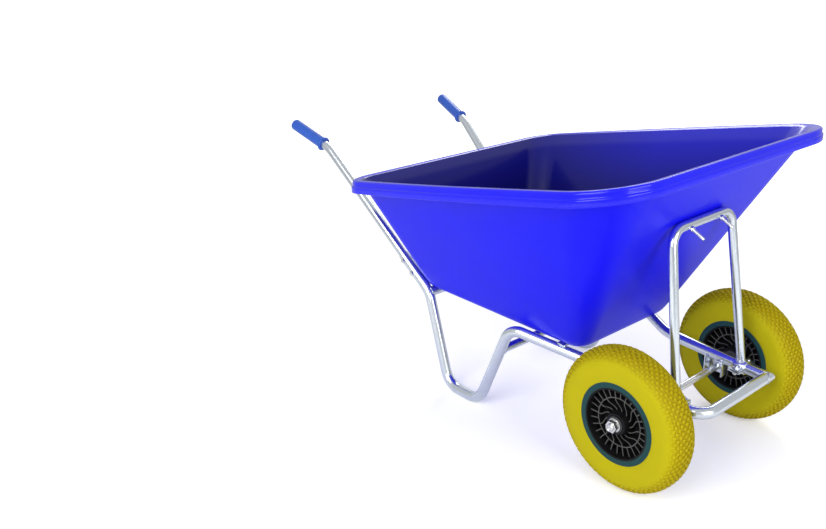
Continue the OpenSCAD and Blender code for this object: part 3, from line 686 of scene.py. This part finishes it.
def add_outline(obj, outline):
    """One rounded ring of edges, made from a plane by moving and bevelling its corners."""
    rear, front, rear_y, front_y, rear_z, front_z, rear_round, front_round, swell = outline
    taper = (front_y - rear_y) / (front - front_round - rear - rear_round)
    front_y += taper * front_round
    rear_y -= taper * rear_round
    obj.update_from_editmode()
    first = len(obj.data.vertices)
    bpy.ops.mesh.primitive_plane_add(size=2)
    front_ends = [at(front, side * front_y, front_z) for side in (-1, 1)]
    rear_ends = [at(rear, side * rear_y, rear_z) for side in (-1, 1)]
    for end, targets in ((-1, rear_ends), (1, front_ends)):
        for side, target in zip((-1, 1), targets):
            start = Vector((end, side, 0))
            pick(obj, "verts", lambda v: v.index >= first and (v.co - start).length < same_corner)
            bpy.ops.transform.translate(value=target - start)
    for targets, radius in ((front_ends, front_round), (rear_ends, rear_round)):
        pick(obj, "verts", lambda v: v.index >= first
             and min((v.co - t).length for t in targets) < same_corner)
        bpy.ops.mesh.bevel(offset=radius * MM, segments=corner_cuts, affect="VERTICES", profile=0.5)
    pick(obj, "faces", lambda f: min(v.index for v in f.verts) >= first)
    bpy.ops.mesh.delete(type="ONLY_FACE")
    long_side = (front - rear) * MM * long_share
    pick(obj, "edges", lambda e: min(v.index for v in e.verts) >= first
         and abs(e.verts[0].co.x - e.verts[1].co.x) > long_side)
    bpy.ops.mesh.subdivide(number_cuts=side_cuts - 1)
    swell_sides(obj, first, swell)
    return first


def swell_sides(obj, first, swell):
    """Moves the points along both long sides outwards, most at the middle."""
    mesh = bmesh.from_edit_mesh(obj.data)
    mesh.verts.index_update()
    cuts = [v.co.copy() for v in mesh.verts if v.select]
    rear = min(c.x for c in cuts)
    front = max(c.x for c in cuts)
    for place in cuts:
        share = (place.x - rear) / (front - rear)
        out = math.copysign(4 * share * (1 - share) * swell * MM, place.y)
        pick(obj, "verts", lambda v: v.index >= first and (v.co - place).length < same_point)
        bpy.ops.transform.translate(value=(0, out, 0))


def tray_piece():
    obj = single_point("tray_shell", (0, 0, 0))
    bpy.ops.mesh.delete(type="VERT")
    outside, inside = tray_outlines()
    starts = [add_outline(obj, outline) for outline in outside + inside]
    obj.update_from_editmode()
    starts.append(len(obj.data.vertices))
    for low, middle, high in zip(starts, starts[1:], starts[2:]):
        pick(obj, "edges", lambda e: all(low <= v.index < high for v in e.verts)
             and (e.verts[0].index < middle) == (e.verts[1].index < middle))
        bpy.ops.mesh.bridge_edge_loops()
    for low, high in (starts[:2], starts[-2:]):
        pick(obj, "edges", lambda e: all(low <= v.index < high for v in e.verts))
        bpy.ops.mesh.edge_face_add()
    tidy_mesh(obj)
    edit(obj)
    mark(obj, "inside", lambda v: v.index >= starts[len(outside)])
    bevelled(obj, tray_edge, segments=3, degrees=30)
    smooth(obj, degrees=40)
    fitted(obj, "root", "tray_blue", [n for n, slot in slot_of.items() if slot == "tray_blue"])


tray_piece()


# Tyres: a turned carcass with rows of blocks raised on its crown
def tyre_profile():
    """Half the section, from the crown's middle out and down to the bead, as (radius, half width)."""
    foot_r = rim_r + seat_gap
    wide_r = foot_r + (tyre_r - foot_r) * wide_share
    crown = []
    for i in range(crown_steps + 1):
        a = math.radians(90 - 90 * i / crown_steps)
        depth = next((h for first, end, h in tread_bands if first <= i < end), 0)
        crown.append((
            wide_r + (tyre_r - wide_r) * math.sin(a) ** crown_power - depth * math.sin(a),
            tyre_w / 2 * math.cos(a) ** crown_power - depth * math.cos(a),
        ))
    side = []
    for i in reversed(range(side_steps)):
        a = math.radians(90 * i / side_steps)
        side.append((
            wide_r - (wide_r - foot_r) * math.cos(a),
            rim_w / 2 + (tyre_w - rim_w) / 2 * math.sin(a),
        ))
    bead = rim_w / 2 - flange_t - seat_gap
    return crown + side + [(foot_r, bead), (foot_r - bead_h, bead)]


def raise_blocks(obj, centre, half, first, end, height):
    """Every other face of each row becomes a block, staggered from row to row."""
    edges = [w for _, w in half[:crown_steps]]
    step = FULL_TURN / (2 * tread_pitches)

    def is_block(face):
        place = face.calc_center_median() - centre
        width = abs(place.y) / MM
        row = sum(width > w for w in edges) - 1
        if math.hypot(place.x, place.z) / MM < half[crown_steps][0] or not first <= row < end:
            return False
        row = row if place.y > 0 else -1 - row
        column = math.floor(math.atan2(place.z, place.x) / step)
        return (row + column) % 2 == 0

    edit(obj)
    pick(obj, "faces", is_block)
    bpy.ops.mesh.inset(thickness=block_inset * MM, depth=height * MM, use_individual=True)
    mark(obj, "relief", lambda v: v.select)


def add_tyres():
    half = tyre_profile()
    section = [(r, -w) for r, w in reversed(half)] + half[1:]
    centre = at(0, -wheel_y, axle_z)
    points = [centre + Vector((0, w * MM, r * MM)) for r, w in section]
    right = drawn("tyre_wheel_right", points + [points[0]])
    spun(right, centre, Vector((0, 1, 0)), 2 * tread_pitches)
    for first, end, height in tread_bands:
        raise_blocks(right, centre, half, first, end, height)
    smooth(right, degrees=32)
    left = copied(right, "tyre_wheel_left", move=(0, 2 * wheel_y * MM, 0))
    fitted(right, "wheel_right", "tyre_yellow", ["tyre_right"])
    fitted(left, "wheel_left", "tyre_yellow", ["tyre_left"])


add_tyres()

# Rims, brackets, clamps and fasteners with broken edges: the body and the width of the edge
softened = {
    "rim_right": ["wheel_right", 0.5],
    "rim_left": ["wheel_left", 0.5],
    "hub_bushes_right": ["wheel_right", 0.6],
    "hub_bushes_left": ["wheel_left", 0.6],
    "axle_bracket_right": ["root", 0.8],
    "axle_bracket_left": ["root", 0.8],
    "hoop_saddle_right": ["root", 0.8],
    "hoop_saddle_left": ["root", 0.8],
    "hoop_strap_right": ["root", 0.8],
    "hoop_strap_left": ["root", 0.8],
    "tray_support_bar": ["root", 0.8],
    "axle_washers": ["root", 0.5],
    "axle_nuts": ["root", 0.9],
    "hoop_clamp_bolts": ["root", 0.5],
    "hoop_clamp_nuts": ["root", 0.5],
    "hoop_tray_bolts": ["root", 0.4],
    "hoop_tray_nuts": ["root", 0.5],
    "hoop_tray_washers": ["root", 0.3],
    "handle_bolts": ["root", 0.5],
    "handle_nuts": ["root", 0.5],
    "tray_floor_bolts": ["root", 0.4],
    "tray_floor_nuts": ["root", 0.5],
    "tray_floor_washers": ["root", 0.3],
}
for node, (body, width) in softened.items():
    fitted(soft_copy(node, width), body, slot_of[node], [node])


# Grips: turned sleeves with a rounded hand stop and a domed end
def add_grips():
    way = along(grip_bend, grip_end)
    turns = [math.radians(90 * i / grip_dome_steps) for i in range(grip_dome_steps + 1)]
    profile = [(grip_bore, grip_bore_edge), (grip_bore + grip_bore_edge, 0)]
    profile += [(grip_stop_r + out, h) for out, h in grip_stop]
    profile += [(grip_r + out, h) for out, h in grip_neck]
    profile += [(grip_r, h) for h in grip_rings]
    profile += [
        (grip_r - grip_dome + grip_dome * math.cos(a), grip_len - grip_dome + grip_dome * math.sin(a))
        for a in turns
    ]
    profile += [(0, grip_len), (0, grip_len - grip_end_t), (grip_bore, grip_len - grip_end_t)]
    profile.append(profile[0])
    start = at(*grip_end) - way * (grip_len * MM)
    right = turned("grip_right_sleeve", profile, start, way, grip_steps)
    smooth(right, degrees=40)
    left = copied(right, "grip_left_sleeve")
    fitted(right, "root", "grip_blue", ["grip_right"])
    fitted(left, "root", "grip_blue", ["grip_left"])


add_grips()


# Screw threads on the tails of the hoop's bolts and of the axle, and weld beads, on both sides
def add_pairs(pieces, slot, material=None):
    """Fits pieces of the right side, with copies of them on the left side."""
    twins = [copied(obj, obj.name) for obj in pieces]
    for obj in pieces + twins:
        fitted(obj, "root", slot, material=material)


def thread(name, place, axis, radius, length):
    turns = int(length / thread_pitch)
    core = radius * thread_core
    profile = [(core, 0)]
    for i in range(turns):
        profile += [
            (radius + out * thread_pitch, (i + share) * thread_pitch) for out, share in thread_ridge
        ]
    profile += [(core, turns * thread_pitch), (core, 0)]
    obj = turned(name, profile, place, axis, thread_steps)
    smooth(obj, degrees=50)
    return obj


wall_foot = at(floor_outline[1], 0, floor_outline[5])
wall_line = at(rim_outline[1], 0, rim_outline[5]) - wall_foot
wall_way = wall_line.normalized()
wall_out = Vector((wall_way.z, 0, -wall_way.x))
hoop_rest = wall_foot + wall_line * ((hoop_rest_z * MM - wall_foot.z) / wall_line.z)
hoop_hole = hoop_rest - Vector((0, hoop_top_y / 2 * MM, 0))
bolt_thread = thread(
    "hoop_bolt_thread", hoop_hole + wall_out * ((hoop_d + nut_h + thread_lead) * MM), wall_out,
    bolt_r, bolt_tail - nut_h - 2 * thread_lead,
)
axle_thread = thread(
    "axle_thread", at(0, -wheel_y - axle_nut_end, axle_z), Vector((0, -1, 0)), axle_r, axle_tail
)
add_pairs([bolt_thread, axle_thread], "zinc")


def seam(centre, run, out, joined_r, r):
    """Where a tube of radius r, leaving along out, meets a tube of radius joined_r along run."""
    first = (run - out * run.dot(out)).normalized()
    second = out.cross(first)
    flat_out = out - run * out.dot(run)
    points = []
    for i in range(seam_steps):
        a = FULL_TURN * i / seam_steps
        rim = (first * math.cos(a) + second * math.sin(a)) * (r * MM)
        flat_rim = rim - run * rim.dot(run)
        half = flat_rim.dot(flat_out) / flat_out.length_squared
        gap = (flat_rim.length_squared - (joined_r * MM) ** 2) / flat_out.length_squared
        points.append(centre + rim + out * (math.sqrt(max(half * half - gap, 0)) - half))
    return points


def weld(name, points, width):
    """A rippled bead along a closed seam."""
    obj = drawn(name, points + [points[0]])
    tidy_mesh(obj)
    bpy.ops.object.convert(target="CURVE")
    obj = bpy.context.object
    obj.data.bevel_depth = width * MM
    obj.data.bevel_resolution = 2
    for i, point in enumerate(obj.data.splines[0].points):
        point.radius = bead_ripple[i % 2]
    bpy.ops.object.convert(target="MESH")
    obj = bpy.context.object
    tidy_mesh(obj)
    smooth(obj, degrees=60)
    return obj


brace_share = brace_drop / (leg_top[2] - foot_front[2])
brace_end = at(*blended(leg_top, foot_front, brace_share))
brace_seam = seam(brace_end, along(leg_top, foot_front), Vector((0, 1, 0)), tube_d / 2, brace_d / 2)
rail_way = along(front_corner, knee)
rail_fall = (knee[2] - front_corner[2]) / (knee[0] - front_corner[0])
clamp_z = front_corner[2] + rail_fall * (hoop_foot_x - front_corner[0])
hoop_foot = at(hoop_foot_x, front_corner[1], clamp_z)
hoop_middle = hoop_rest + wall_out * ((hoop_d / 2 + seat_gap) * MM)
hoop_shoulder = hoop_middle - Vector((0, hoop_top_y * MM, 0))
hoop_way = (hoop_shoulder - hoop_foot).normalized()
saddle_r = tube_d / 2 + clamp_t + seat_gap
hoop_seam = seam(hoop_foot, rail_way, hoop_way, saddle_r, hoop_d / 2)
brace_weld = weld("brace_weld", brace_seam, bead_w)
hoop_weld = weld("hoop_weld", hoop_seam, hoop_bead_w)
add_pairs([brace_weld, hoop_weld], "galvanised", weld_bead)
left_corner = at(front_corner[0], -front_corner[1], front_corner[2])
crossbar_seam = seam(left_corner, rail_way, Vector((0, -1, 0)), tube_d / 2, tube_d / 2)
fitted(weld("crossbar_weld", crossbar_seam, bead_w), "root", "galvanised", material=weld_bead)

# Camera, at the photograph's place
frame_w, frame_h = 826, 529
focal_px = 901
centre_px = (482, 262)
sensor_mm = 36
eye = at(1218, -1914, 1431)
look = Vector((-0.67894, 0.63571, -0.36731)).normalized()


def add_camera():
    camera = bpy.data.objects.new("camera", bpy.data.cameras.new("camera"))
    bpy.context.scene.collection.objects.link(camera)
    right = look.cross(Vector((0, 0, 1))).normalized()
    up = right.cross(look)
    turn = Matrix((right, up, -look)).transposed()
    camera.matrix_world = Matrix.Translation(eye) @ turn.to_4x4()
    camera.data.sensor_width = sensor_mm
    camera.data.lens = focal_px * sensor_mm / frame_w
    camera.data.shift_x = (frame_w / 2 - centre_px[0]) / frame_w
    camera.data.shift_y = (centre_px[1] - frame_h / 2) / frame_w
    bpy.context.scene.camera = camera


add_camera()

# Floor, lamps and the white surround. Lamps are [place, size in metres, power].
floor_size = 60
floor_glow = [0.3, 1.0]
floor_glow_r = [1.2, 4.5]
lit_middle = at(-640, 0, 400)
lamps = {
    "key": [at(300, -3000, 1900), 2.2, 90],
    "front": [at(2900, -300, 1500), 2.0, 60],
    "back": [at(-2200, 2400, 2900), 2.0, 70],
}
surround_level = 0.38
mirror_level = 0.62


def add_floor():
    """A floor that is lit by itself to the camera, more so further out, and keeps its shadows."""
    deselect()
    bpy.ops.mesh.primitive_plane_add(size=floor_size)
    floor = bpy.context.object
    floor.name = "floor"
    made = Finish("floor_white", Roughness=0.9, Emission_Strength=1.0)
    x = made.axis("X")
    y = made.axis("Y")
    outward = made.ramp((x * x + y * y) ** 0.5, *floor_glow_r, *floor_glow)
    glow = made.ray("Is Camera Ray") * outward
    made.feed(
        Base_Color=made.mix(made.noise(scale=3), rgb(0.86, 0.86, 0.86), rgb(0.88, 0.88, 0.88)),
        Emission_Color=made.mix(glow, rgb(0, 0, 0), rgb(1, 1, 1)),
    )
    floor.data.materials.append(made.material)


def add_lamp(name, place, size, power):
    lamp = bpy.data.objects.new(name, bpy.data.lights.new(name, "AREA"))
    bpy.context.scene.collection.objects.link(lamp)
    lamp.data.shape = "SQUARE"
    lamp.data.size = size
    lamp.data.energy = power
    lamp.location = place
    lamp.rotation_euler = (lit_middle - place).to_track_quat("-Z", "Y").to_euler()


def add_surround():
    """White to the camera, bright in reflections and dim to everything else."""
    world = bpy.data.worlds.new("surround")
    bpy.context.scene.world = world
    world.use_nodes = True
    made = Wiring(world.node_tree)
    seen = made.ray("Is Camera Ray")
    mirrored = made.ray("Is Glossy Ray") * (1 - seen)
    level = surround_level + seen * (1 - surround_level) + mirrored * (mirror_level - surround_level)
    background = made.tree.nodes["Background"]
    made.tree.links.new(level.socket, background.inputs["Strength"])
    background.inputs["Color"].default_value = rgb(1, 1, 1)


add_floor()
for name, (place, size, power) in lamps.items():
    add_lamp(name, place, size, power)
add_surround()
bpy.context.scene.view_settings.view_transform = "Standard"
